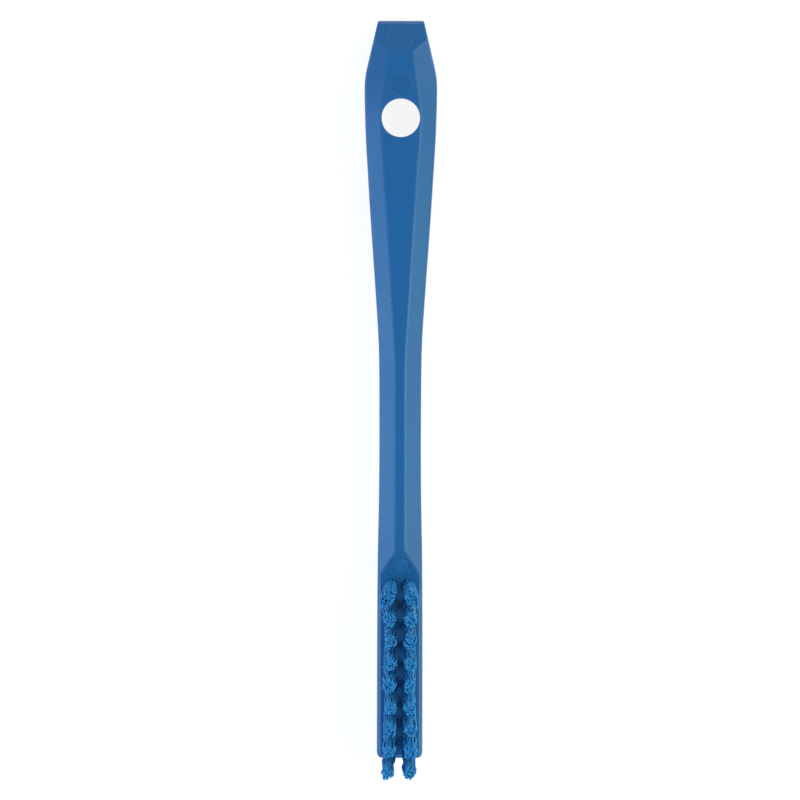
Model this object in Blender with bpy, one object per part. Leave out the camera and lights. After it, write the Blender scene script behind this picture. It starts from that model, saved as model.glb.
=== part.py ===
"""A narrow scrub brush: a faceted one-piece moulded handle with a hanging hole and a chisel end, and
two rows of forward-leaning bristle tufts, each folded round a flat wire anchor in its own blind hole.

Lengths are in metres. X runs across the brush, +Y points to the hanging end and +Z is the way that
the bristles point. The origin is under the middle of the whole brush, on its flat back facet.
"""

import math
import random

import bmesh
import bpy
from mathutils import Matrix, Vector

# The moulded handle as a whole.
handle_length = 0.2005
thickness = 0.0105
chamfer_depth = 0.0018
side_draft = 0.00012
crease_radius = 0.0010
side_radius = 0.0008

# The chisel end. A setback is measured from the chisel's tip towards the bristles.
tip_width = 0.0125
tip_facet_width = 0.0048
tip_thickness = 0.0020
tip_rounding = 0.0004
chisel_length = 0.00845

# The grip and the neck.
shoulder_setback = 0.0155
grip_width = 0.0197
grip_facet_width = 0.01075
neck_setback = 0.1099
neck_width = 0.01138
neck_facet_width = 0.00245
hanging_hole_setback = 0.0262
hanging_hole_diameter = 0.0104
hanging_hole_rim = 0.0003

# The bristle head. The flare is the short slope from the front facet down to the bristle face.
head_length = 0.0568
head_width = 0.01252
head_end_radius = 0.0015
flare_length = 0.0073
face_drop = 0.0018

# The blind holes for the tufts.
tuft_hole_diameter = 0.0034
tuft_hole_depth = 0.0055
drill_point_depth = 0.0006
row_wall = 0.0008
tuft_wall = 0.0018
first_tuft_margin = 0.0021
last_tuft_margin = 0.0052

# The tufts. They lean forward, more so towards the head's end, and a little outward.
bristle_length = 0.0150
first_lean = math.radians(7.5)
last_lean = math.radians(32.5)
outward_lean = math.radians(2.5)
tip_spread_across = 0.0003
tip_spread_along = 0.0009
uneven_trim = 0.0006
root_sink = 0.0004

# The flat wire anchors, pressed into the wall at both ends.
anchor_thickness = 0.0004
anchor_height = 0.0016
anchor_bite = 0.0002
anchor_rise = 0.0012

# Room left between pieces that would touch, and how far a cutter runs past what it cuts.
clearance = 0.0003
overrun = 0.0040

# Position from shoulder to neck, then the shares by which the outline and the front facet are still
# wider there than at the neck.
grip_shares = (
    (0.000, 1.000, 0.702),
    (0.065, 0.995, 0.916),
    (0.108, 0.969, 1.000),
    (0.180, 0.909, 0.940),
    (0.266, 0.793, 0.790),
    (0.353, 0.673, 0.658),
    (0.482, 0.475, 0.467),
    (0.611, 0.269, 0.295),
    (0.741, 0.079, 0.099),
    (0.827, 0.022, 0.000),
)

# Position from neck to head end, the share by which the outline has grown from neck to head, and the
# share by which the side's rounded edge has turned from the chamfer to the flat bristle face.
head_shares = (
    (0.000, 0.000, 0.0),
    (0.075, 0.000, 0.0),
    (0.225, 0.180, 0.0),
    (0.375, 0.650, 0.0),
    (0.450, 0.760, 0.9),
    (0.525, 0.860, 0.9),
)

# How far along a strand each step ends, then its share of the fanning out and of the root's width there.
outer_strand_shares = ((0.35, 0.15, 0.90), (0.70, 0.61, 0.86), (1.00, 1.00, 0.80))
inner_strand_shares = ((0.35, 0.15, 0.90), (1.00, 1.00, 0.80))

crease_steps = 1
side_steps = 3
end_steps = 3
hanging_hole_sides = 36
root_sides = 12

handle_blue = (0.036, 0.133, 0.360, 1.0)
bristle_blue = (0.033, 0.190, 0.460, 1.0)
wire_steel = (0.62, 0.62, 0.60, 1.0)


def clear_scene():
    for old in list(bpy.data.objects):
        bpy.data.objects.remove(old, do_unlink=True)


def make_collection(name, hidden=False):
    collection = bpy.data.collections.new(name)
    bpy.context.scene.collection.children.link(collection)
    collection.hide_render = hidden
    return collection


def make_material(name, colour, roughness, metallic):
    material = bpy.data.materials.new(name)
    material.use_nodes = True
    shader = material.node_tree.nodes["Principled BSDF"]
    shader.inputs["Base Color"].default_value = colour
    shader.inputs["Roughness"].default_value = roughness
    shader.inputs["Metallic"].default_value = metallic
    material.diffuse_color = colour
    return material


def make_object(name, bm, collection, parent, material=None):
    mesh = bpy.data.meshes.new(name)
    bm.normal_update()
    bm.to_mesh(mesh)
    bm.free()
    if material:
        mesh.materials.append(material)
    made = bpy.data.objects.new(name, mesh)
    made.parent = parent
    collection.objects.link(made)
    return made


def make_cutter(name, bm, collection, parent):
    cutter = make_object(name, bm, collection, parent)
    cutter.display_type = "WIRE"
    cutter.hide_render = True
    return cutter


def cut(target, cutter):
    boolean = target.modifiers.new(cutter.name, "BOOLEAN")
    boolean.operation = "DIFFERENCE"
    boolean.solver = "EXACT"
    boolean.object = cutter


def rounded_corner(before, corner, after, radius, steps):
    """Points on the arc that rounds the corner between two neighbours, in the plane of a section."""
    back = (before - corner).normalized()
    ahead = (after - corner).normalized()
    half_angle = back.angle(ahead) / 2
    reach = radius / math.tan(half_angle)
    centre = corner + (back + ahead).normalized() * (radius / math.sin(half_angle))
    start = (corner + back * reach - centre).normalized()
    finish = (corner + ahead * reach - centre).normalized()
    return [centre + start.slerp(finish, i / steps) * radius for i in range(steps + 1)]


def section_points(half_width, half_facet, turned):
    """One cross-section of the handle, as (x, z) about the middle of its thickness.

    Where turned is 0 the side's edge rounds off the chamfer, and towards 1 it rounds off a flat face.
    """
    half_thickness = thickness / 2
    middle = Vector((0.0, half_thickness))
    crease = Vector((half_facet, half_thickness))
    edge_drop = chamfer_depth + turned * (face_drop - chamfer_depth)
    edge = Vector((half_width - side_draft, half_thickness - edge_drop))
    inward = crease.lerp(Vector((half_facet, edge.y)), turned)
    parting = Vector((half_width, 0.0))
    quarter = rounded_corner(middle, crease, edge, crease_radius, crease_steps)
    quarter += rounded_corner(inward, edge, parting, side_radius, side_steps)
    lower = [Vector((p.x, -p.y)) for p in reversed(quarter)]
    right = quarter + [parting] + lower
    left = [Vector((-p.x, p.y)) for p in reversed(right)]
    return right + left


def handle_stations():
    """Setback, half width, half facet and turned edge of each section, from the tip to the head's end."""
    stations = [(0.0, tip_width / 2, tip_facet_width / 2, 0.0)]
    for position, outline, facet in grip_shares:
        setback = shoulder_setback + position * (neck_setback - shoulder_setback)
        width = neck_width + outline * (grip_width - neck_width)
        facet_width = neck_facet_width + facet * (grip_facet_width - neck_facet_width)
        stations.append((setback, width / 2, facet_width / 2, 0.0))
    for position, outline, turned in head_shares:
        setback = neck_setback + position * (handle_length - neck_setback)
        width = neck_width + outline * (head_width - neck_width)
        stations.append((setback, width / 2, neck_facet_width / 2, turned))
    for i in range(end_steps + 1):
        angle = math.pi / 2 * i / end_steps
        setback = handle_length - head_end_radius * (1 - math.sin(angle))
        half_width = head_width / 2 - head_end_radius * (1 - math.cos(angle))
        stations.append((setback, half_width, neck_facet_width / 2, turned))
    return stations


def slice_off(bm, point, normal):
    """Cuts the body at a plane, drops what lies on the normal's side and closes the cut."""
    everything = bm.verts[:] + bm.edges[:] + bm.faces[:]
    found = bmesh.ops.bisect_plane(bm, geom=everything, plane_co=point, plane_no=normal, clear_outer=True)
    rim = [item for item in found["geom_cut"] if isinstance(item, bmesh.types.BMEdge)]
    bmesh.ops.edgeloop_fill(bm, edges=rim)


def handle_body(collection, parent, material):
    """The faceted bar is lofted through its sections, and its end is sliced to a two-sided chisel."""
    bm = bmesh.new()
    stations = handle_stations()
    first_points = section_points(*stations[0][1:])
    end_face = bm.faces.new([bm.verts.new((p.x, 0.0, p.y + thickness / 2)) for p in first_points])
    for setback, *shape in stations[1:]:
        end_face = bmesh.ops.extrude_discrete_faces(bm, faces=[end_face])["faces"][0]
        for vertex, p in zip(end_face.verts, section_points(*shape)):
            vertex.co = (p.x, -setback, p.y + thickness / 2)
    bmesh.ops.edgeloop_fill(bm, edges=[edge for edge in bm.edges if edge.is_boundary])
    bmesh.ops.recalc_face_normals(bm, faces=bm.faces[:])
    chisel_drop = (thickness - tip_thickness) / 2
    for side, height in ((1, thickness), (-1, 0.0)):
        crease = Vector((0.0, -chisel_length, height))
        slice_off(bm, crease, Vector((0.0, chisel_drop, side * chisel_length)))
    tip_edges = [
        edge
        for edge in bm.edges
        if all(abs(vertex.co.y) < tip_rounding / 2 for vertex in edge.verts)
        and edge.calc_length() > tip_width / 2
    ]
    bmesh.ops.bevel(
        bm, geom=tip_edges, offset=tip_rounding, segments=2, profile=0.5, affect="EDGES", material=-1
    )
    return make_object("handle", bm, collection, parent, material)


def head_cutter(collection, parent):
    """Clears the flare and the bristle face: a side profile extruded across the head."""
    slope = face_drop / flare_length
    flare_start = handle_length - head_length
    face_height = thickness - face_drop
    profile = (
        (-flare_start + overrun, thickness + overrun * slope),
        (-flare_start - flare_length, face_height),
        (-handle_length - overrun, face_height),
        (-handle_length - overrun, thickness + overrun),
        (-flare_start + overrun, thickness + overrun),
    )
    half_reach = head_width / 2 + overrun
    bm = bmesh.new()
    side = bm.faces.new([bm.verts.new((-half_reach, y, z)) for y, z in profile])
    grown = bmesh.ops.extrude_face_region(bm, geom=[side], use_keep_orig=True)
    moved = [item for item in grown["geom"] if isinstance(item, bmesh.types.BMVert)]
    bmesh.ops.translate(bm, verts=moved, vec=(2 * half_reach, 0.0, 0.0))
    bmesh.ops.recalc_face_normals(bm, faces=bm.faces[:])
    return make_cutter("head_clearing", bm, collection, parent)


def hanging_hole_cutter(collection, parent):
    """A straight hole that opens into a short cone at each face, so that its rims are broken."""
    radius = hanging_hole_diameter / 2
    wide = radius + hanging_hole_rim + overrun
    profile = (
        (0.0, -overrun),
        (wide, -overrun),
        (radius, hanging_hole_rim),
        (radius, thickness - hanging_hole_rim),
        (wide, thickness + overrun),
        (0.0, thickness + overrun),
    )
    bm = bmesh.new()
    corners = [bm.verts.new((x, 0.0, z)) for x, z in profile]
    edges = [bm.edges.new(pair) for pair in zip(corners, corners[1:])]
    bmesh.ops.spin(
        bm, geom=corners + edges, axis=(0, 0, 1), steps=hanging_hole_sides, angle=math.tau, use_merge=True
    )
    bmesh.ops.remove_doubles(bm, verts=bm.verts[:], dist=clearance / 10)
    bmesh.ops.recalc_face_normals(bm, faces=bm.faces[:])
    bmesh.ops.translate(bm, verts=bm.verts[:], vec=(0.0, -hanging_hole_setback, 0.0))
    return make_cutter("hanging_hole", bm, collection, parent)


def tuft_setbacks():
    """As many tufts in a row as fit with a full wall between their holes, spread evenly."""
    first = handle_length - head_length + flare_length + first_tuft_margin
    last = handle_length - last_tuft_margin
    spaces = int((last - first) / (tuft_hole_diameter + tuft_wall))
    return [first + (last - first) * i / spaces for i in range(spaces + 1)]


def tuft_frame(setback, along_row, side):
    """The tuft's axis is Z of this frame, whose origin lies on the bristle face. Also the hole's slant depth."""
    lean = first_lean + (last_lean - first_lean) * along_row
    across = row_wall / 2 + tuft_hole_diameter / 2 + tuft_hole_depth * math.tan(outward_lean)
    place = Matrix.Translation((side * across, -setback, thickness - face_drop))
    forward = Matrix.Rotation(lean, 4, "X")
    outward = Matrix.Rotation(side * outward_lean, 4, "Y")
    return place @ forward @ outward, tuft_hole_depth / math.cos(lean)


def drill_cutter(name, depth, collection, parent):
    """A drill's shape: a round body that runs out of the face, with a shallow point at the bottom."""
    bm = bmesh.new()
    bmesh.ops.create_cone(
        bm,
        cap_ends=True,
        cap_tris=True,
        segments=root_sides,
        radius1=tuft_hole_diameter / 2,
        radius2=tuft_hole_diameter / 2,
        depth=depth + overrun,
        matrix=Matrix.Translation((0.0, 0.0, (overrun - depth) / 2)),
    )
    for vertex in bm.verts:
        on_axis = vertex.co.xy.length < tuft_hole_diameter / 4
        if on_axis and vertex.co.z < 0:
            vertex.co.z -= drill_point_depth
    return make_cutter(name, bm, collection, parent)


def anchor_box(depth, room):
    """The anchor's flat strip across its hole, grown by the given room on every side."""
    centre = anchor_rise + anchor_height / 2 - depth
    size = Matrix.Diagonal((
        anchor_thickness + 2 * room,
        tuft_hole_diameter + 2 * anchor_bite + 2 * room,
        anchor_height + 2 * room,
        1.0,
    ))
    bm = bmesh.new()
    bmesh.ops.create_cube(bm, size=1.0, matrix=Matrix.Translation((0.0, 0.0, centre)) @ size)
    return bm


def tuft_root(depth):
    """A round plug that fills the hole. Its top is a fan of 24 small triangles, one for each strand."""
    root_radius = tuft_hole_diameter / 2 - clearance
    bm = bmesh.new()
    bmesh.ops.create_circle(bm, cap_ends=True, cap_tris=True, segments=root_sides // 2, radius=root_radius)
    bmesh.ops.subdivide_edges(bm, edges=bm.edges[:], cuts=1, use_grid_fill=True)
    for vertex in bm.verts:
        if vertex.is_boundary:
            vertex.co = vertex.co.normalized() * root_radius
        vertex.co.z = clearance - depth
    bottom = bm.faces[:]
    grown = bmesh.ops.extrude_face_region(bm, geom=bottom, use_keep_orig=True)
    top = [item for item in grown["geom"] if isinstance(item, bmesh.types.BMFace)]
    for item in grown["geom"]:
        if isinstance(item, bmesh.types.BMVert):
            item.co.z = -root_sink
    bmesh.ops.dissolve_faces(bm, faces=bottom, use_verts=True)
    return bm, top


def tuft_body(name, depth, seed, side, collection, parent, material):
    """Each small triangle of the root's top is drawn out into a strand that fans away from its neighbours."""
    draw = random.Random(seed)
    root_radius = tuft_hole_diameter / 2 - clearance
    bm, top = tuft_root(depth)
    for face in top:
        centre = face.calc_center_median()
        corners = [vertex.co - centre for vertex in face.verts]
        inner = centre.xy.length < root_radius / 2
        length = bristle_length + uneven_trim * draw.uniform(-0.5, 0.5)
        for along, spread, width in inner_strand_shares if inner else outer_strand_shares:
            face = bmesh.ops.extrude_discrete_faces(bm, faces=[face])["faces"][0]
            across_scale = 1 + spread * tip_spread_across / root_radius
            along_scale = 1 + spread * tip_spread_along / root_radius
            middle = Vector((centre.x * across_scale, centre.y * along_scale, along * length))
            for vertex, corner in zip(face.verts, corners):
                vertex.co = middle + corner * width
    bmesh.ops.scale(bm, verts=bm.verts[:], vec=(side, 1.0, 1.0))
    bmesh.ops.recalc_face_normals(bm, faces=bm.faces[:])
    return make_object(name, bm, collection, parent, material)


def build_tufts(handle, parts, cutters, parent, bristle_material, wire_material):
    """Each tuft, its hole and its anchor share one frame, and the right row mirrors the left."""
    setbacks = tuft_setbacks()
    for side, row in ((-1, "left"), (1, "right")):
        for i, setback in enumerate(setbacks):
            tag = f"{row}_{i + 1}"
            frame, depth = tuft_frame(setback, i / (len(setbacks) - 1), side)
            drill = drill_cutter(f"drill_{tag}", depth, cutters, parent)
            room = make_cutter(f"anchor_room_{tag}", anchor_box(depth, clearance), cutters, parent)
            tuft = tuft_body(f"tuft_{tag}", depth, i, side, parts, parent, bristle_material)
            anchor = make_object(f"anchor_{tag}", anchor_box(depth, 0.0), parts, parent, wire_material)
            for placed in (drill, room, tuft, anchor):
                placed.matrix_local = frame
            cut(handle, drill)
            cut(handle, room)
            cut(tuft, room)


def centre_on_origin(parent, parts):
    """Slides the whole brush along Y until the origin is midway between the chisel and the bristle tips."""
    bpy.context.view_layer.update()
    reach = []
    for item in parts.objects:
        if item.type == "MESH":
            reach += [(item.matrix_world @ vertex.co).y for vertex in item.data.vertices]
    parent.location.y = -(min(reach) + max(reach)) / 2


def build():
    clear_scene()
    parts = make_collection("scrub_brush")
    cutters = make_collection("cutters", hidden=True)
    frame = bpy.data.objects.new("brush_frame", None)
    parts.objects.link(frame)
    handle_material = make_material("handle_blue", handle_blue, 0.42, 0.0)
    bristle_material = make_material("bristle_blue", bristle_blue, 0.38, 0.0)
    wire_material = make_material("anchor_steel", wire_steel, 0.30, 1.0)
    handle = handle_body(parts, frame, handle_material)
    cut(handle, head_cutter(cutters, frame))
    cut(handle, hanging_hole_cutter(cutters, frame))
    build_tufts(handle, parts, cutters, frame, bristle_material, wire_material)
    centre_on_origin(frame, parts)


build()
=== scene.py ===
"""The looks of a narrow moulded scrub brush: a faceted satin handle with a drilled bristle head, and
eighteen tufts of crimped filaments. Lengths are in metres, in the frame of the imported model.
"""

import math
import random

import bmesh
import bpy
from mathutils import Matrix, Vector


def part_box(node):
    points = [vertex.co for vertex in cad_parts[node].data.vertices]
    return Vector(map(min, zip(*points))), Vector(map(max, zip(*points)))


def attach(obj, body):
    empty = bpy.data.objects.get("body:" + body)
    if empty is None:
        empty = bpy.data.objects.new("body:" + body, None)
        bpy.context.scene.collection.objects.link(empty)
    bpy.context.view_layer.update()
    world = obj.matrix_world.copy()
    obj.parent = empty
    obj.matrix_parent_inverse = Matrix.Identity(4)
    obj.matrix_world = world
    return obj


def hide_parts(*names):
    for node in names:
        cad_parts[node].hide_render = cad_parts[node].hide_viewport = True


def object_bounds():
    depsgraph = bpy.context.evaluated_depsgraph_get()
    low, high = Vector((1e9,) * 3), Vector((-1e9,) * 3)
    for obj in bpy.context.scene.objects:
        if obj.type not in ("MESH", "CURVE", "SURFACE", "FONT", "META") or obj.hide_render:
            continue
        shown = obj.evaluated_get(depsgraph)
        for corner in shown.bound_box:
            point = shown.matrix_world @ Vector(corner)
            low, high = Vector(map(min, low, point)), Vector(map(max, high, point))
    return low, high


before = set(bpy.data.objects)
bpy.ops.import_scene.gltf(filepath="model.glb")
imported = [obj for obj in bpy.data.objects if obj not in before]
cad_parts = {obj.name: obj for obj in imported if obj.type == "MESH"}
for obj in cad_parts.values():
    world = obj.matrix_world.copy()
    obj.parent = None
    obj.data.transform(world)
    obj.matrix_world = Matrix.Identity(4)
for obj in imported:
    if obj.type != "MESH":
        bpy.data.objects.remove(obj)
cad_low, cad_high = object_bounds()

# Sizes that the frame gives.
handle_low, handle_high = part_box("handle")
tip_y = handle_high.y
end_y = handle_low.y
handle_length = tip_y - end_y
thickness = handle_high.z - handle_low.z
grip_half_width = handle_high.x
middle_z = thickness / 2

# The handle's own sizes, as the solid has them. A setback runs from the chisel's tip.
tip_half_width = 0.00625
tip_half_facet = 0.0024
tip_thickness = 0.0020
chisel_length = 0.00845
shoulder_setback = 0.0155
shoulder_blend = 0.0028
grip_half_facet = 0.005375
neck_setback = 0.1099
neck_half_width = 0.00569
neck_half_facet = 0.001225
hole_setback = 0.0262
hole_radius = 0.0052
head_length = 0.0568
head_half_width = 0.00626
head_corner_radius = 0.0015
flare_length = 0.0073
face_drop = 0.0018
chamfer_depth = 0.0018
side_draft = 0.00012

# Places that follow: where the flare starts, where it meets the bristle face, and the chisel's slopes.
flare_setback = handle_length - head_length
flare_y = end_y + head_length
face_y = flare_y - flare_length
face_z = thickness - face_drop
chisel_drop = (thickness - tip_thickness) / 2

# Position from shoulder to neck, then how much wider outline and facet still are than at the neck.
grip_shares = (
    (0.000, 1.000, 0.702),
    (0.065, 0.995, 0.916),
    (0.108, 0.969, 1.000),
    (0.180, 0.909, 0.940),
    (0.266, 0.793, 0.790),
    (0.353, 0.673, 0.658),
    (0.482, 0.475, 0.467),
    (0.611, 0.269, 0.295),
    (0.741, 0.079, 0.099),
    (0.827, 0.022, 0.000),
    (1.000, 0.000, 0.000),
)

# Position from neck to head end, then how much of the step from neck to head the outline has made.
head_shares = (
    (0.000, 0.000),
    (0.075, 0.000),
    (0.225, 0.180),
    (0.375, 0.650),
    (0.525, 0.860),
    (1.000, 1.000),
)

# How many sections each stretch of the bar has, and how far they stay from the ends of the flare's edges.
shoulder_steps = 8
grip_steps = 56
neck_steps = 16
flare_steps = 3
head_steps = 10
flare_margin = 0.0012
flare_foot_margin = 0.0030

# How far each kind of edge is rounded off, and in how many steps.
crease_round = 0.00058
side_round = 0.00052
chisel_round = 0.00048
tip_round = 0.00095
tip_corner_round = 0.00045
flare_round = 0.00048
face_edge_round = 0.00115
end_round = 0.00050
rounding_steps = 4

# The hanging hole's rim: its rounding, the arc that it turns through, and how it leads out of the face.
rim_round = 0.00035
rim_arc = math.radians(78)
rim_steps = 6
rim_lead = 0.0003
rim_lead_angle = math.radians(12)
hole_steps = 96

# The creases are glossier towards the neck: where that starts, where it is full, and how much it is.
polish_start_setback = 0.050
polish_full_setback = 0.086
crease_polish = 0.07

# Plain shallow round marks that the mould's inserts leave, each with its place, its radii and its depth.
grip_disc_setback = 0.01725
grip_disc_radius = 0.00288
grip_disc_depth = 0.00006
chisel_ring_setback = 0.00480
chisel_ring_radii = (0.00322, 0.00356)
chisel_ring_depth = 0.00004
flare_ring_setback = 0.14790
flare_ring_radii = (0.00208, 0.00292)
flare_ring_depth = 0.00006
mark_wall = 0.00008
mark_steps = 64

# The tufts' holes. They open by a hair at the face and end in a drill point.
tufts_per_row = 9
tuft_hole_radius = 0.0017
tuft_hole_depth = 0.0055
drill_point_depth = 0.0006
drill_flare = 0.00002
drill_steps = 28
row_offset = 0.00234
first_tuft_margin = 0.0021
last_tuft_margin = 0.0052

# How the tufts stand. Their tips gather inward and sway by chance, and the last left tuft swings outward.
first_lean = math.radians(7.5)
last_lean = math.radians(32.5)
outward_lean = math.radians(2.5)
tip_gather = 0.00016
tuft_sway = 0.00018
last_sway = 0.00090

# The first tuft of each row fans out: its outer filaments splay outward and towards the head's end.
first_splay = 0.00110
first_trail = 0.00240
first_root_shift = 0.00010

# The filaments of a tuft: how they fill it, how far from its axis they reach, and how their ends vary.
bristle_length = 0.0150
filaments_per_tuft = 66
filament_inset = 0.5
buried_length = 0.0015
root_reach = 0.00157
tip_reach_across = 0.00158
tip_reach_along = 0.00195
tip_scatter = 0.00014
trim_scatter = 0.00065

# One filament and its crimp. The crimp sets in over the first third, and no two waves are alike.
filament_radius = 0.00022
filament_sides = 4
filament_steps = 11
crimp_height = 0.00038
crimp_height_range = (0.5, 1.2)
crimp_length = 0.0054
crimp_length_range = (0.92, 1.08)
crimp_onset = 3
turn_scatter = 0.5
phase_scatter = 0.6

# The clumps in which filaments cling together: how they lie, and how far they draw the tips in.
clumps_per_tuft = 9
clump_inset = 0.4
clump_scatter = 0.5
clump_pull = 0.26
clump_shift = 0.00034

# The packed core inside a tuft: its share of the tuft's width, how deep and how domed its top is, its tone.
core_share = 0.82
core_depth = 0.0008
core_dome_power = 6
core_least_dome = 0.02
core_tone = 0.3
core_sides = 14
core_steps = 10

# Colours, most of them as a darker and a lighter shade.
handle_blues = ((0.0035, 0.086, 0.250, 1.0), (0.0044, 0.094, 0.264, 1.0))
# The marks' blues are darker than the handle's: a painted shade on the floors and walls of the marks.
mark_painted_shade_blues = ((0.0026, 0.078, 0.225, 1.0), (0.0032, 0.084, 0.237, 1.0))
filament_blues = ((0.002, 0.126, 0.372, 1.0), (0.005, 0.194, 0.480, 1.0))
wire_greys = ((0.56, 0.56, 0.54, 1.0), (0.68, 0.68, 0.66, 1.0))
white = (1.0, 1.0, 1.0, 1.0)

# How far filaments come to one blue at their tips, a painted shade on the lit tips, and how little of the
# lighter shade the last tufts have, a painted shade on them.
filament_tip_painted_shade_blue = (0.006, 0.172, 0.415, 1.0)
filament_tip_shade_share = 0.75
last_tuft_painted_shade_scale = 0.1

# How rough each surface is, from its smoothest spots to its roughest.
handle_roughness = (0.31, 0.34)
insert_roughness = (0.33, 0.36)
filament_roughness = (0.58, 0.68)
wire_roughness = (0.24, 0.40)

# The floor's white under the lamps, what is left of it where it is seen, and the lift to white there.
floor_half_size = 6.0
floor_white = (0.80, 0.80, 0.80, 1.0)
seen_floor_white = (0.14, 0.14, 0.14, 1.0)
seen_floor_lift = 0.89

# How strongly the room itself lights the brush.
ambient_strength = 0.26

# Each soft box: its name, its place, its width and height, its radiance and its colour.
soft_boxes = (
    ("left_near_box", (-0.337, -0.157, 0.335), 0.40, 0.30, 1.95, (0.60, 1.07, 1.26)),
    ("left_far_box", (-0.906, 0.0, 0.423), 0.70, 0.60, 2.4, (0.60, 1.0, 1.50)),
    ("right_near_box", (0.337, -0.157, 0.335), 0.40, 0.30, 1.4, (0.70, 1.22, 0.96)),
    ("right_low_box", (0.420, -0.196, 0.187), 0.40, 0.30, 1.5, (0.95, 1.10, 0.85)),
    ("right_far_box", (0.742, 0.520, 0.423), 0.70, 0.60, 3.5, (0.98, 1.03, 0.93)),
    ("end_low_box", (0.0, 0.783, 0.166), 0.60, 0.15, 3.6, (1.0, 1.0, 1.0)),
    ("foot_box", (0.0, -0.819, 0.574), 0.50, 0.40, 3.6, (0.7, 1.0, 1.4)),
    ("right_strip", (0.477, 0.0, 0.879), 0.36, 0.11, 8.0, (0.80, 1.03, 1.03)),
    ("left_strip", (-0.477, 0.0, 0.879), 0.34, 0.08, 2.4, (1.0, 1.0, 1.0)),
    ("right_chisel_strip", (0.405, 0.434, 0.805), 0.24, 0.16, 7.5, (0.80, 1.08, 1.04)),
    ("left_chisel_strip", (-0.405, 0.434, 0.805), 0.24, 0.16, 3.0, (0.80, 1.08, 1.10)),
)

# The camera: its height over the handle's middle, its place, the point that it looks at, and its view.
camera_height = 1.3
camera_x = -0.00007
camera_y = 0.0760
aim_y = -0.000331
seen_width = 0.21761
camera_roll = math.radians(0.113)

# How far a cutter runs past what it cuts, and how far its sides reach over a shallow mark.
overrun = 0.004
mark_overrun = overrun / 20

# How close counts as one point, as on an edge, and as near one.
merge_distance = 0.000002
on_edge = 0.00002
near_edge = 0.0002

# How far below a mark's floor a point may lie, and how far below the surface it must, to be in the mark.
mark_slack = 0.00001
mark_skin = 0.000004

# Folds below the first angle aren't rounded off, and folds above the second are drawn sharp.
least_fold = math.radians(7)
sharpest_smooth_fold = math.radians(24)

# How far upright a normal is on the polished part of a rounding, and on a filament's cut end.
polished_upright = 0.90
cut_end_upright = 0.9

# The handle's material slots: plain moulded plastic, the marks of the inserts, darker as a painted shade in
# their recesses, and the polished creases.
plain_slot = 0
mark_shade_slot = 1
crease_slot = 2

# The sockets of a Mix node that mixes colours: its factor, its two colours and its result.
mix_factor_socket = 0
mix_colour_sockets = (6, 7)
mix_result_socket = 2


def smooth_share(table, column, position):
    """Reads a table of shares at any position, on a cubic curve through its points."""
    last = len(table) - 1
    i = 0
    while i < last - 1 and position > table[i + 1][0]:
        i += 1

    def slope(k):
        before = table[max(k - 1, 0)]
        after = table[min(k + 1, last)]
        return (after[column] - before[column]) / (after[0] - before[0])

    run = table[i + 1][0] - table[i][0]
    t = (position - table[i][0]) / run
    start, finish = table[i][column], table[i + 1][column]
    return (
        (2 * t ** 3 - 3 * t ** 2 + 1) * start
        + (t ** 3 - 2 * t ** 2 + t) * run * slope(i)
        + (-2 * t ** 3 + 3 * t ** 2) * finish
        + (t ** 3 - t ** 2) * run * slope(i + 1)
    )


def piece_from(bm, name, material):
    """Makes a shape the mesh of a new piece."""
    mesh = bpy.data.meshes.new(name)
    bm.normal_update()
    bm.to_mesh(mesh)
    bm.free()
    mesh.materials.append(material)
    made = bpy.data.objects.new(name, mesh)
    bpy.context.scene.collection.objects.link(made)
    return made


def settle(target):
    """Keeps the result of a piece's modifiers as its mesh."""
    settled = bpy.context.evaluated_depsgraph_get()
    mesh = bpy.data.meshes.new_from_object(target.evaluated_get(settled))
    target.modifiers.clear()
    target.data = mesh


# Materials


def new_material(name):
    """A new material, its node tree and its shader."""
    material = bpy.data.materials.new(name)
    material.use_nodes = True
    tree = material.node_tree
    return material, tree, tree.nodes["Principled BSDF"]


def object_place(tree):
    """The place of each point on its piece."""
    return tree.nodes.new("ShaderNodeTexCoord").outputs["Object"]


def stretched(tree, vector, scale):
    """A place scaled along each axis, so that a pattern on it runs along the brush."""
    mapping = tree.nodes.new("ShaderNodeMapping")
    mapping.inputs["Scale"].default_value = scale
    tree.links.new(vector, mapping.inputs["Vector"])
    return mapping.outputs["Vector"]


def noise_of(tree, vector, scale, detail):
    """A noise over a place, mostly between 0.3 and 0.7."""
    noise = tree.nodes.new("ShaderNodeTexNoise")
    noise.inputs["Scale"].default_value = scale
    noise.inputs["Detail"].default_value = detail
    tree.links.new(vector, noise.inputs["Vector"])
    return noise.outputs["Fac"]


def range_of(tree, value, low, high, from_low=0.3, from_high=0.7):
    """Brings a value from one range to another. Unless told otherwise, it comes from a noise."""
    mapping = tree.nodes.new("ShaderNodeMapRange")
    mapping.inputs["From Min"].default_value = from_low
    mapping.inputs["From Max"].default_value = from_high
    mapping.inputs["To Min"].default_value = low
    mapping.inputs["To Max"].default_value = high
    tree.links.new(value, mapping.inputs["Value"])
    return mapping.outputs["Result"]


def colour_between(tree, factor, first, second):
    """Mixes two colours, each a value or another node's output."""
    mix = tree.nodes.new("ShaderNodeMix")
    mix.data_type = "RGBA"
    for socket, colour in zip(mix_colour_sockets, (first, second)):
        if isinstance(colour, tuple):
            mix.inputs[socket].default_value = colour
        else:
            tree.links.new(colour, mix.inputs[socket])
    tree.links.new(factor, mix.inputs[mix_factor_socket])
    return mix.outputs[mix_result_socket]


def combined(tree, operation, first, second):
    """What a Math node makes of two other nodes' outputs."""
    node = tree.nodes.new("ShaderNodeMath")
    node.operation = operation
    tree.links.new(first, node.inputs[0])
    tree.links.new(second, node.inputs[1])
    return node.outputs["Value"]


def soften(shader, weight, radius, scale):
    """Lets light into the plastic, further for blue than for red."""
    shader.inputs["Subsurface Weight"].default_value = weight
    shader.inputs["Subsurface Radius"].default_value = radius
    shader.inputs["Subsurface Scale"].default_value = scale


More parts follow.
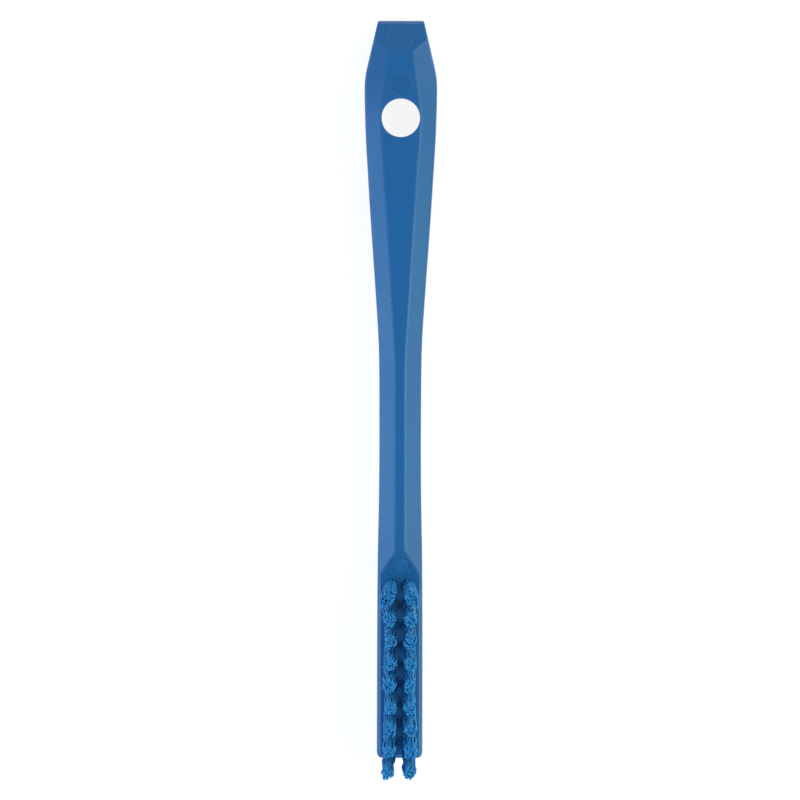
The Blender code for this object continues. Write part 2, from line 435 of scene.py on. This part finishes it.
def polish_along(tree, place, polish):
    """How much glossier a surface is, growing along the handle from the grip to the neck."""
    along = tree.nodes.new("ShaderNodeSeparateXYZ")
    tree.links.new(place, along.inputs["Vector"])
    full_y = tip_y - polish_full_setback
    start_y = tip_y - polish_start_setback
    return range_of(tree, along.outputs["Y"], polish, 0.0, full_y, start_y)


def moulded_plastic(name, blues, roughness, polish=0.0):
    """Satin polypropylene with the faint shades of its flow in the mould, glossier where it is polished."""
    material, tree, shader = new_material(name)
    place = object_place(tree)
    flow = noise_of(tree, stretched(tree, place, scale=(3.0, 0.5, 3.0)), scale=60.0, detail=3.0)
    tone = colour_between(tree, range_of(tree, flow, 0.0, 1.0), *blues)
    tree.links.new(tone, shader.inputs["Base Color"])
    speckle = noise_of(tree, place, scale=900.0, detail=2.0)
    rough = range_of(tree, speckle, *roughness)
    if polish:
        rough = combined(tree, "SUBTRACT", rough, polish_along(tree, place, polish))
    tree.links.new(rough, shader.inputs["Roughness"])
    shader.inputs["IOR"].default_value = 1.49
    soften(shader, weight=0.20, radius=(0.1, 0.5, 1.0), scale=0.0015)
    return material


def bristle_plastic():
    """Polyester filament: each one has its own tone, and towards the tip they all come to one blue, a painted
    shade on the lit tips.
    """
    material, tree, shader = new_material("blue_filament")
    attribute = tree.nodes.new("ShaderNodeAttribute")
    attribute.attribute_name = "filament"
    parts = tree.nodes.new("ShaderNodeSeparateColor")
    tree.links.new(attribute.outputs["Color"], parts.inputs["Color"])
    tone = colour_between(tree, parts.outputs["Red"], *filament_blues)
    # Towards the tip each filament's tone goes over to one blue, a painted shade on the tips, which catch the
    # most light.
    tip_shade_amount = range_of(tree, parts.outputs["Green"], 0.0, filament_tip_shade_share, from_low=0.0, from_high=1.0)
    blue = colour_between(tree, tip_shade_amount, tone, filament_tip_painted_shade_blue)
    tree.links.new(blue, shader.inputs["Base Color"])
    speckle = noise_of(tree, object_place(tree), scale=1500.0, detail=2.0)
    tree.links.new(range_of(tree, speckle, *filament_roughness), shader.inputs["Roughness"])
    shader.inputs["IOR"].default_value = 1.50
    soften(shader, weight=0.45, radius=(0.3, 0.7, 1.0), scale=0.0008)
    return material


def drawn_wire():
    """Flat stainless wire, with the fine lengthwise lines of the drawing die."""
    material, tree, shader = new_material("flat_stainless_wire")
    place = stretched(tree, object_place(tree), scale=(6.0, 0.4, 6.0))
    lines = noise_of(tree, place, scale=800.0, detail=3.0)
    tone = colour_between(tree, range_of(tree, lines, 0.0, 1.0), *wire_greys)
    tree.links.new(tone, shader.inputs["Base Color"])
    tree.links.new(range_of(tree, lines, *wire_roughness), shader.inputs["Roughness"])
    bump = tree.nodes.new("ShaderNodeBump")
    bump.inputs["Strength"].default_value = 0.15
    bump.inputs["Distance"].default_value = 0.00002
    tree.links.new(lines, bump.inputs["Height"])
    tree.links.new(bump.outputs["Normal"], shader.inputs["Normal"])
    shader.inputs["Metallic"].default_value = 1.0
    return material


# The handle


def section_corners(half_width, half_facet):
    """The right half of a cross-section, from the front facet's crease round to the back's."""
    front = [
        (half_facet, middle_z),
        (half_width - side_draft, middle_z - chamfer_depth),
        (half_width, 0.0),
    ]
    back = [(x, -z) for x, z in reversed(front[:-1])]
    return front + back


def widths_at(setback):
    """Half width and half facet of the handle at a setback."""
    shoulder_half_facet = neck_half_facet + grip_shares[0][2] * (grip_half_facet - neck_half_facet)
    widening = Vector((grip_half_width - tip_half_width, shoulder_half_facet - tip_half_facet))
    taper = widening / shoulder_setback
    if setback < shoulder_setback:
        half_width, half_facet = Vector((tip_half_width, tip_half_facet)) + taper * setback
    elif setback < neck_setback:
        t = (setback - shoulder_setback) / (neck_setback - shoulder_setback)
        half_width = neck_half_width + smooth_share(grip_shares, 1, t) * (grip_half_width - neck_half_width)
        half_facet = neck_half_facet + smooth_share(grip_shares, 2, t) * (grip_half_facet - neck_half_facet)
    else:
        t = (setback - neck_setback) / (handle_length - neck_setback)
        half_width = neck_half_width + smooth_share(head_shares, 1, t) * (head_half_width - neck_half_width)
        half_facet = neck_half_facet
    # A parabola takes the corner off the shoulder.
    from_shoulder = abs(setback - shoulder_setback) / shoulder_blend
    if from_shoulder < 1:
        half_width -= taper.x * shoulder_blend * (1 - from_shoulder) ** 2 / 4
    return half_width, half_facet


def evenly(start, finish, steps):
    """Even steps from a start, which is left out, to a finish."""
    return [start + (finish - start) * (i + 1) / steps for i in range(steps)]


def bar_setbacks():
    """Where the sections lie: close together on curves, and none near the ends of the flare's edges."""
    blend_start = shoulder_setback - shoulder_blend
    blend_end = shoulder_setback + shoulder_blend
    setbacks = [0.0, blend_start]
    setbacks += evenly(blend_start, blend_end, shoulder_steps)
    setbacks += evenly(blend_end, neck_setback, grip_steps)
    setbacks += evenly(neck_setback, flare_setback - flare_margin, neck_steps)
    flare_end = flare_setback + flare_length
    setbacks += evenly(flare_setback - flare_margin, flare_end - flare_foot_margin, flare_steps)
    setbacks += evenly(flare_end + flare_margin, handle_length, head_steps)
    return setbacks


def lofted_bar():
    """The bar before any cut, drawn out section by section from the chisel's end."""
    bm = bmesh.new()
    face = None
    for setback in bar_setbacks():
        right = section_corners(*widths_at(setback))
        ring = right + [(-x, z) for x, z in reversed(right)]
        if face is None:
            face = bm.faces.new([bm.verts.new((x, tip_y, z + middle_z)) for x, z in ring])
            continue
        face = bmesh.ops.extrude_discrete_faces(bm, faces=[face])["faces"][0]
        for vertex, (x, z) in zip(face.verts, ring):
            vertex.co = (x, tip_y - setback, z + middle_z)
    bmesh.ops.edgeloop_fill(bm, edges=[edge for edge in bm.edges if edge.is_boundary])
    bmesh.ops.recalc_face_normals(bm, faces=bm.faces[:])
    for side, height in ((1, thickness), (-1, 0.0)):
        found = bmesh.ops.bisect_plane(
            bm,
            geom=bm.verts[:] + bm.edges[:] + bm.faces[:],
            plane_co=(0.0, tip_y - chisel_length, height),
            plane_no=(0.0, chisel_drop, side * chisel_length),
            clear_outer=True,
        )
        rim = [item for item in found["geom_cut"] if isinstance(item, bmesh.types.BMEdge)]
        bmesh.ops.edgeloop_fill(bm, edges=rim)
    return bm


def head_wedge():
    """What is cleared above the flare and the bristle face."""
    slope = face_drop / flare_length
    profile = (
        (flare_y + overrun, thickness + overrun * slope),
        (face_y, face_z),
        (end_y - overrun, face_z),
        (end_y - overrun, thickness + overrun),
        (flare_y + overrun, thickness + overrun),
    )
    half_reach = head_half_width + overrun
    bm = bmesh.new()
    side = bm.faces.new([bm.verts.new((-half_reach, y, z)) for y, z in profile])
    grown = bmesh.ops.extrude_face_region(bm, geom=[side], use_keep_orig=True)
    moved = [item for item in grown["geom"] if isinstance(item, bmesh.types.BMVert)]
    bmesh.ops.translate(bm, verts=moved, vec=(2 * half_reach, 0.0, 0.0))
    bmesh.ops.recalc_face_normals(bm, faces=bm.faces[:])
    return bm


def along_row(index):
    """How far along its row a tuft stands, from 0 for the first to 1 for the last."""
    return index / (tufts_per_row - 1)


def lean_of(index):
    """How far a tuft leans forward, by its number in its row."""
    return first_lean + (last_lean - first_lean) * along_row(index)


def tuft_places():
    """Row side, row, number and frame of every tuft. Z of the frame runs along the tuft, from the face."""
    first = face_y - first_tuft_margin
    last = end_y + last_tuft_margin
    for side, row in ((-1, "left"), (1, "right")):
        for index in range(tufts_per_row):
            root = (side * row_offset, first + (last - first) * along_row(index), face_z)
            forward = Matrix.Rotation(lean_of(index), 4, "X")
            outward = Matrix.Rotation(side * outward_lean, 4, "Y")
            yield side, row, index, Matrix.Translation(root) @ forward @ outward


def turned_cutter(bm, profile, place, steps):
    """Adds a closed round cutter: a profile of radius and height that is turned about a frame's Z."""
    corners = [bm.verts.new((radius, 0.0, height)) for radius, height in profile]
    edges = [bm.edges.new(pair) for pair in zip(corners, corners[1:])]
    if profile[0][0] > 0:
        edges.append(bm.edges.new((corners[-1], corners[0])))
    bmesh.ops.spin(
        bm, geom=corners + edges, axis=(0, 0, 1), steps=steps, angle=math.tau, use_merge=True
    )
    # The faces of cutters that were added before are tagged, and stay where they are.
    turned = {vertex for face in bm.faces if not face.tag for vertex in face.verts}
    bmesh.ops.remove_doubles(bm, verts=list(turned), dist=merge_distance)
    fresh = [face for face in bm.faces if not face.tag]
    moved = list({vertex for face in fresh for vertex in face.verts})
    bmesh.ops.transform(bm, matrix=place, verts=moved)
    for face in fresh:
        face.tag = True


def rim_profile():
    """The hanging hole's wall and its rounded rims. Each rim stops short of a full quarter round."""
    upper = []
    for i in range(rim_steps + 1):
        angle = rim_arc * i / rim_steps
        upper.append((
            hole_radius + rim_round * (1 - math.cos(angle)),
            middle_z - rim_round * math.sin(rim_arc) + rim_round * math.sin(angle),
        ))
    out_radius = upper[-1][0] + rim_lead * math.cos(rim_lead_angle)
    out_height = upper[-1][1] + rim_lead * math.sin(rim_lead_angle)
    upper += [(out_radius, out_height), (out_radius, out_height + overrun), (0.0, out_height + overrun)]
    lower = [(radius, -height) for radius, height in reversed(upper)]
    return lower + upper


def sloped_mark(setback, slope_start, slope):
    """The frame of a mark on a slope that falls from a setback on, towards the head or the chisel."""
    drop = abs(setback - slope_start) * math.tan(abs(slope))
    return Matrix.Translation((0.0, tip_y - setback, thickness - drop)) @ Matrix.Rotation(slope, 4, "X")


def marks():
    """The frame, inner and outer radius and depth of each round mark. A frame's Z leaves the surface."""
    disc = Matrix.Translation((0.0, tip_y - grip_disc_setback, thickness))
    yield disc, 0.0, grip_disc_radius, grip_disc_depth
    chisel_slope = math.atan2(chisel_drop, chisel_length)
    chisel_ring = sloped_mark(chisel_ring_setback, chisel_length, -chisel_slope)
    yield chisel_ring, *chisel_ring_radii, chisel_ring_depth
    flare_slope = math.atan2(face_drop, flare_length)
    flare_ring = sloped_mark(flare_ring_setback, flare_setback, flare_slope)
    yield flare_ring, *flare_ring_radii, flare_ring_depth


def mark_profile(inner, outer, depth):
    """The section of a shallow disc or ring with sloped walls, as radius and height from the surface."""
    floor = [(outer - mark_wall, -depth), (outer, 0.0), (outer, mark_overrun)]
    if inner == 0:
        return [(0.0, -depth), *floor, (0.0, mark_overrun)]
    return [(inner, mark_overrun), (inner, 0.0), (inner + mark_wall, -depth), *floor]


def drill_profile(lean):
    """The section of a tuft's hole, which is drilled deeper the more it leans."""
    depth = tuft_hole_depth / math.cos(lean)
    return (
        (0.0, -depth - drill_point_depth),
        (tuft_hole_radius, -depth),
        (tuft_hole_radius, -2 * drill_flare),
        (tuft_hole_radius + 3 * drill_flare, drill_flare),
        (tuft_hole_radius + 3 * drill_flare, overrun / 2),
        (0.0, overrun / 2),
    )


def hole_and_marks():
    """The hanging hole, the round marks and a drilled hole for every tuft, as one cutter."""
    bm = bmesh.new()
    centre = Matrix.Translation((0.0, tip_y - hole_setback, middle_z))
    turned_cutter(bm, rim_profile(), centre, hole_steps)
    for place, inner, outer, depth in marks():
        turned_cutter(bm, mark_profile(inner, outer, depth), place, mark_steps)
    for *_, index, place in tuft_places():
        turned_cutter(bm, drill_profile(lean_of(index)), place, drill_steps)
    bmesh.ops.recalc_face_normals(bm, faces=bm.faces[:])
    return bm


def lies_in_mark(point):
    """Whether a point is on the floor or a wall of the plain disc or of a ring, which get the painted shade.
    """
    for place, inner, outer, depth in marks():
        x, y, z = place.inverted() @ point
        if -depth - mark_slack < z < -mark_skin and inner < math.hypot(x, y) < outer:
            return True
    return False


def cut_with(target, bm):
    """Subtracts a closed shape from a piece and keeps the result as the piece's mesh."""
    cutter = piece_from(bm, "cutter", target.data.materials[0])
    boolean = target.modifiers.new("cut", "BOOLEAN")
    boolean.operation = "DIFFERENCE"
    boolean.solver = "EXACT"
    boolean.object = cutter
    settle(target)
    bpy.data.objects.remove(cutter, do_unlink=True)


def edge_lies_on_chisel(a, b):
    """Whether both ends of an edge lie on one of the chisel's two slopes."""
    slope = chisel_drop / chisel_length
    for side in (1, -1):
        heights = []
        for point in (a, b):
            surface = middle_z - (chisel_length - (tip_y - point.y)) * slope
            heights.append(side * (point.z - middle_z) - surface)
        if max(abs(height) for height in heights) < on_edge:
            return True
    return False


def edge_rounding(edge):
    """How far an edge of the cut handle is rounded off, by the features that it lies between."""
    a, b = (vertex.co for vertex in edge.verts)
    middle = (a + b) / 2
    setback = tip_y - middle.y
    rise = abs(a.z - b.z)
    if len(edge.link_faces) != 2 or edge.calc_face_angle() < least_fold:
        return 0.0
    if setback < on_edge:
        return tip_corner_round if rise > near_edge / 2 else tip_round
    # The line half-way up the sides stays as it is, and so do inward folds.
    if abs(middle.z - middle_z) < near_edge or edge.calc_face_angle_signed() < 0:
        return 0.0
    if setback < chisel_length + near_edge and edge_lies_on_chisel(a, b):
        return chisel_round
    if middle.y < end_y + on_edge:
        if abs(a.x - b.x) < 2 * side_draft:
            return head_corner_radius
        return face_edge_round if middle.z > middle_z else end_round
    if middle.z > face_z - on_edge and setback > flare_setback - on_edge:
        on_flare = min(max((setback - flare_setback) / flare_length, 0.0), 1.0)
        if setback > flare_setback + flare_length - on_edge:
            return face_edge_round
        if rise < on_edge and abs(a.y - b.y) >= on_edge:
            return side_round + (face_edge_round - side_round) * on_flare
        # The flare's own rounding fades out towards its foot.
        return flare_round * (1 - on_flare ** 3)
    return crease_round if min(middle.z, thickness - middle.z) < near_edge / 2 else side_round


def round_edges(handle):
    """Rounds off every edge by its own measure, and leaves the roundings polished along the creases."""
    bm = bmesh.new()
    bm.from_mesh(handle.data)
    bmesh.ops.remove_doubles(bm, verts=bm.verts[:], dist=merge_distance)
    weight = bm.edges.layers.float.new("bevel_weight_edge")
    for edge in bm.edges:
        edge[weight] = edge_rounding(edge) / head_corner_radius
    bm.to_mesh(handle.data)
    bm.free()
    rounding = handle.modifiers.new("rounding", "BEVEL")
    rounding.limit_method = "WEIGHT"
    rounding.offset_type = "OFFSET"
    rounding.width = head_corner_radius
    rounding.segments = rounding_steps
    rounding.use_clamp_overlap = False
    rounding.material = crease_slot
    settle(handle)
    # The polish stays only on what faces almost up or down, and ends where the bristle face starts.
    for polygon in handle.data.polygons:
        if abs(polygon.normal.z) < polished_upright or polygon.center.y < face_y:
            polygon.material_index = plain_slot


def shade_facets(handle):
    """Smooths the roundings, and keeps the facets flat and the sharp folds sharp."""
    bm = bmesh.new()
    bm.from_mesh(handle.data)
    for edge in bm.edges:
        edge.smooth = len(edge.link_faces) == 2 and edge.calc_face_angle() < sharpest_smooth_fold
    bm.to_mesh(handle.data)
    bm.free()
    weighted = handle.modifiers.new("flat_facets", "WEIGHTED_NORMAL")
    weighted.keep_sharp = True
    settle(handle)


def handle_piece(material, mark_shade_material, crease_material):
    """The moulded handle, with the polished creases in a finish of their own and the marks of the mould's
    inserts painted darker, as shade in their recesses.
    """
    handle = piece_from(lofted_bar(), "handle_moulding", material)
    handle.data.materials.append(mark_shade_material)
    handle.data.materials.append(crease_material)
    cut_with(handle, head_wedge())
    round_edges(handle)
    cut_with(handle, hole_and_marks())
    for polygon in handle.data.polygons:
        polygon.use_smooth = True
        # The floors and walls of the marks take the darker plastic, a painted shade in their recesses.
        if lies_in_mark(polygon.center):
            polygon.material_index = mark_shade_slot
    shade_facets(handle)
    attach(handle, "root")
    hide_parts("handle")


# The tufts


def draw_out(sides, place, sections):
    """A closed round strand. Each section gives its middle, two half widths, its turn, tone and share."""
    bm = bmesh.new()
    tone_layer = bm.verts.layers.float_color.new("filament")
    ring = bmesh.ops.create_circle(bm, cap_ends=True, segments=sides, radius=1.0)["verts"]
    face = ring[0].link_faces[0]
    corners = [vertex.co.copy() for vertex in face.verts]
    for number, (middle, across, onward, turn, tone, share) in enumerate(sections):
        if number:
            face = bmesh.ops.extrude_discrete_faces(bm, faces=[face])["faces"][0]
        shape = Matrix.Diagonal((across, onward, 1.0)) @ Matrix.Rotation(turn, 3, "Z")
        for vertex, corner in zip(face.verts, corners):
            vertex.co = place @ (middle + shape @ corner)
            vertex[tone_layer] = Vector((tone, share, 0.0, 1.0))
    hold_in_box(bm, tone_layer)
    bmesh.ops.edgeloop_fill(bm, edges=[edge for edge in bm.edges if edge.is_boundary])
    bmesh.ops.recalc_face_normals(bm, faces=bm.faces[:])
    for face in bm.faces:
        upright = abs(face.normal.dot(place.col[2].xyz))
        face.smooth = len(face.verts) == 4 and upright < cut_end_upright
    return bm


def hold_in_box(bm, tone_layer):
    """Bends a strand back, most at its tip, where it would pass the end or the top of the solid brush."""
    beyond = max(cad_low.y - min(vertex.co.y for vertex in bm.verts), 0.0)
    above = max(max(vertex.co.z for vertex in bm.verts) - cad_high.z, 0.0)
    for vertex in bm.verts:
        vertex.co += Vector((0.0, beyond, -above)) * vertex[tone_layer].y


def heading(angle):
    """The flat vector of length 1 at an angle."""
    return Vector((math.cos(angle), math.sin(angle)))


def filament(place, root, tip, length, turn, phase, tone_spread_and_painted_shade, draw):
    """One crimped filament, from inside its hole to its cut tip."""
    turn += draw.uniform(-turn_scatter, turn_scatter)
    phase += draw.uniform(-phase_scatter, phase_scatter)
    sway = heading(turn).to_3d() * crimp_height * draw.uniform(*crimp_height_range)
    wave = crimp_length * draw.uniform(*crimp_length_range)
    # A filament's tone is its own by chance, scaled down on the last tufts as a painted shade.
    tone = draw.random() * tone_spread_and_painted_shade
    spin = draw.uniform(0, math.tau)
    sections = []
    for step in range(filament_steps + 1):
        along = -buried_length + step / filament_steps * (length + buried_length)
        share = max(along, 0.0) / length
        middle = root.lerp(tip, share)
        middle.z = along
        middle += sway * min(1.0, crimp_onset * share) * math.sin(math.tau * along / wave + phase)
        sections.append((middle, filament_radius, filament_radius, spin, tone, share))
    return draw_out(filament_sides, place, sections)


def packed_core(place, shift):
    """The close-packed middle of a tuft, which shows only deep between its filaments."""
    length = bristle_length - core_depth
    sections = []
    for step in range(core_steps + 1):
        t = step / core_steps
        along = -buried_length + math.sin(t * math.pi / 2) * (length + buried_length)
        share = max(along, 0.0) / bristle_length
        dome = math.sqrt(max(1 - t ** core_dome_power, core_least_dome))
        across = (root_reach + (tip_reach_across - root_reach) * share) * core_share * dome
        onward = (root_reach + (tip_reach_along - root_reach) * share) * core_share * dome
        sections.append((Vector((shift * share, 0.0, along)), across, onward, 0.0, core_tone, share))
    return draw_out(core_sides, place, sections)


def packing_angle(k):
    """The angle of one of many points that fill a circle evenly, each farther out than the one before."""
    return k * math.pi * (3 - math.sqrt(5))


def clumps_of(draw):
    """The clumps of a tuft: each one's middle, and its filaments' shift, turn and phase."""
    clumps = []
    for k in range(clumps_per_tuft):
        angle = packing_angle(k) + draw.uniform(-clump_scatter, clump_scatter)
        middle = heading(angle) * math.sqrt((k + clump_inset) / clumps_per_tuft)
        shift = heading(draw.uniform(0, math.tau)) * clump_shift * draw.random()
        clumps.append((middle, shift, draw.uniform(0, math.tau), draw.uniform(0, math.tau)))
    return clumps


def joined(strands):
    """All strands of a tuft as one shape, each with its own tones."""
    whole = bmesh.new()
    whole.verts.layers.float_color.new("filament")
    gathered = bpy.data.meshes.new("gathered")
    for strand in strands:
        strand.to_mesh(gathered)
        strand.free()
        whole.from_mesh(gathered)
    bpy.data.meshes.remove(gathered)
    return whole


def tuft_piece(side, row, index, place, material):
    """A tuft's filaments fill its hole, fan out in clumps and end in one slightly uneven trim."""
    draw = random.Random(f"{row} {index}")
    is_first = index == 0
    is_last = index == tufts_per_row - 1
    sideways = draw.uniform(-tuft_sway, tuft_sway) - side * tip_gather
    if is_last and row == "left":
        sideways += side * last_sway
    # The last tufts keep close to the darker blue: a painted shade.
    tone_spread_and_painted_shade = last_tuft_painted_shade_scale if is_last else 1.0
    clumps = clumps_of(draw)
    strands = [packed_core(place, sideways)]
    for k in range(filaments_per_tuft):
        spot = heading(packing_angle(k)) * math.sqrt((k + filament_inset) / filaments_per_tuft)
        root = spot.to_3d() * root_reach
        middle, shift, turn, phase = min(clumps, key=lambda clump: (clump[0] - spot).length)
        drawn_in = spot.lerp(middle, clump_pull)
        tip = Vector((
            drawn_in.x * tip_reach_across + sideways + shift.x + draw.uniform(-tip_scatter, tip_scatter),
            drawn_in.y * tip_reach_along + shift.y + draw.uniform(-tip_scatter, tip_scatter),
            0.0,
        ))
        if is_first:
            root.x += side * first_root_shift
            tip += Vector((side * first_splay, -first_trail, 0.0)) * max(side * spot.x, 0.0)
        length = bristle_length - draw.uniform(0.0, trim_scatter)
        strands.append(filament(place, root, tip, length, turn, phase, tone_spread_and_painted_shade, draw))
    tuft = piece_from(joined(strands), f"bristles_{row}_{index + 1}", material)
    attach(tuft, "root")
    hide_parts(f"tuft_{row}_{index + 1}")


def finish_anchors(material):
    """Gives the solids of the wire anchors their finish."""
    for name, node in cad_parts.items():
        if name.startswith("anchor"):
            node.data.materials.clear()
            node.data.materials.append(material)


# Floor, light and camera


def pale_floor():
    """A white floor that keeps the brush's soft shadow. What the camera sees of it is lifted to white."""
    bm = bmesh.new()
    bmesh.ops.create_grid(bm, x_segments=1, y_segments=1, size=floor_half_size)
    material, tree, shader = new_material("pale_floor")
    shader.inputs["Roughness"].default_value = 0.9
    shader.inputs["Specular IOR Level"].default_value = 0.1
    path = tree.nodes.new("ShaderNodeLightPath")
    seen = path.outputs["Is Camera Ray"]
    for other in ("Is Glossy Ray", "Is Transmission Ray"):
        seen = combined(tree, "MAXIMUM", seen, path.outputs[other])
    base = colour_between(tree, seen, floor_white, seen_floor_white)
    tree.links.new(base, shader.inputs["Base Color"])
    lift = tree.nodes.new("ShaderNodeMath")
    lift.operation = "MULTIPLY"
    lift.inputs[1].default_value = seen_floor_lift
    tree.links.new(seen, lift.inputs[0])
    shader.inputs["Emission Color"].default_value = white
    tree.links.new(lift.outputs["Value"], shader.inputs["Emission Strength"])
    floor = piece_from(bm, "floor", material)


def soft_box(name, place, width, height, radiance, colour):
    """An area light that faces the brush, with its brightness given as a radiance, whatever its size."""
    light = bpy.data.lights.new(name, "AREA")
    light.shape = "RECTANGLE"
    light.size = width
    light.size_y = height
    light.energy = radiance * math.pi * width * height
    light.color = colour
    lamp = bpy.data.objects.new(name, light)
    lamp.location = place
    lamp.rotation_euler = (-Vector(place)).to_track_quat("-Z", "Y").to_euler()
    lamp.visible_camera = False
    bpy.context.scene.collection.objects.link(lamp)


def studio():
    """Soft boxes round the brush, in a room that the camera sees as white but that lights it dimly."""
    scene = bpy.context.scene
    scene.view_settings.view_transform = "Standard"
    world = bpy.data.worlds.new("studio")
    scene.world = world
    world.use_nodes = True
    tree = world.node_tree
    ambient = tree.nodes["Background"]
    ambient.inputs["Color"].default_value = white
    path = tree.nodes.new("ShaderNodeLightPath")
    strength = range_of(tree, path.outputs["Is Camera Ray"], ambient_strength, 1.0, 0.0, 1.0)
    tree.links.new(strength, ambient.inputs["Strength"])
    for name, place, width, height, radiance, colour in soft_boxes:
        soft_box(name, place, width, height, radiance, colour)


def photo_camera():
    """Almost straight above the hanging hole, at the photo's scale and its slight turn."""
    place = Vector((camera_x, camera_y, camera_height + middle_z))
    tilt = -math.atan2(place.y - aim_y, camera_height)
    data = bpy.data.cameras.new("photo_camera")
    data.sensor_width = 36.0
    data.lens = data.sensor_width * camera_height / math.cos(tilt) / seen_width
    camera = bpy.data.objects.new("photo_camera", data)
    camera.location = place
    roll = Matrix.Rotation(camera_roll, 4, "Z")
    camera.rotation_euler = (Matrix.Rotation(tilt, 4, "X") @ roll).to_euler()
    bpy.context.scene.collection.objects.link(camera)
    bpy.context.scene.camera = camera


handle_piece(
    moulded_plastic("moulded_blue_plastic", handle_blues, handle_roughness),
    # The marks' plastic is darker, a painted shade in their recesses.
    moulded_plastic("plastic_painted_with_mark_shade", mark_painted_shade_blues, insert_roughness),
    moulded_plastic("plastic_polished_on_creases", handle_blues, handle_roughness, crease_polish),
)
bristle = bristle_plastic()
for tuft_side, tuft_row, tuft_index, tuft_place in tuft_places():
    tuft_piece(tuft_side, tuft_row, tuft_index, tuft_place, bristle)
finish_anchors(drawn_wire())
pale_floor()
studio()
photo_camera()
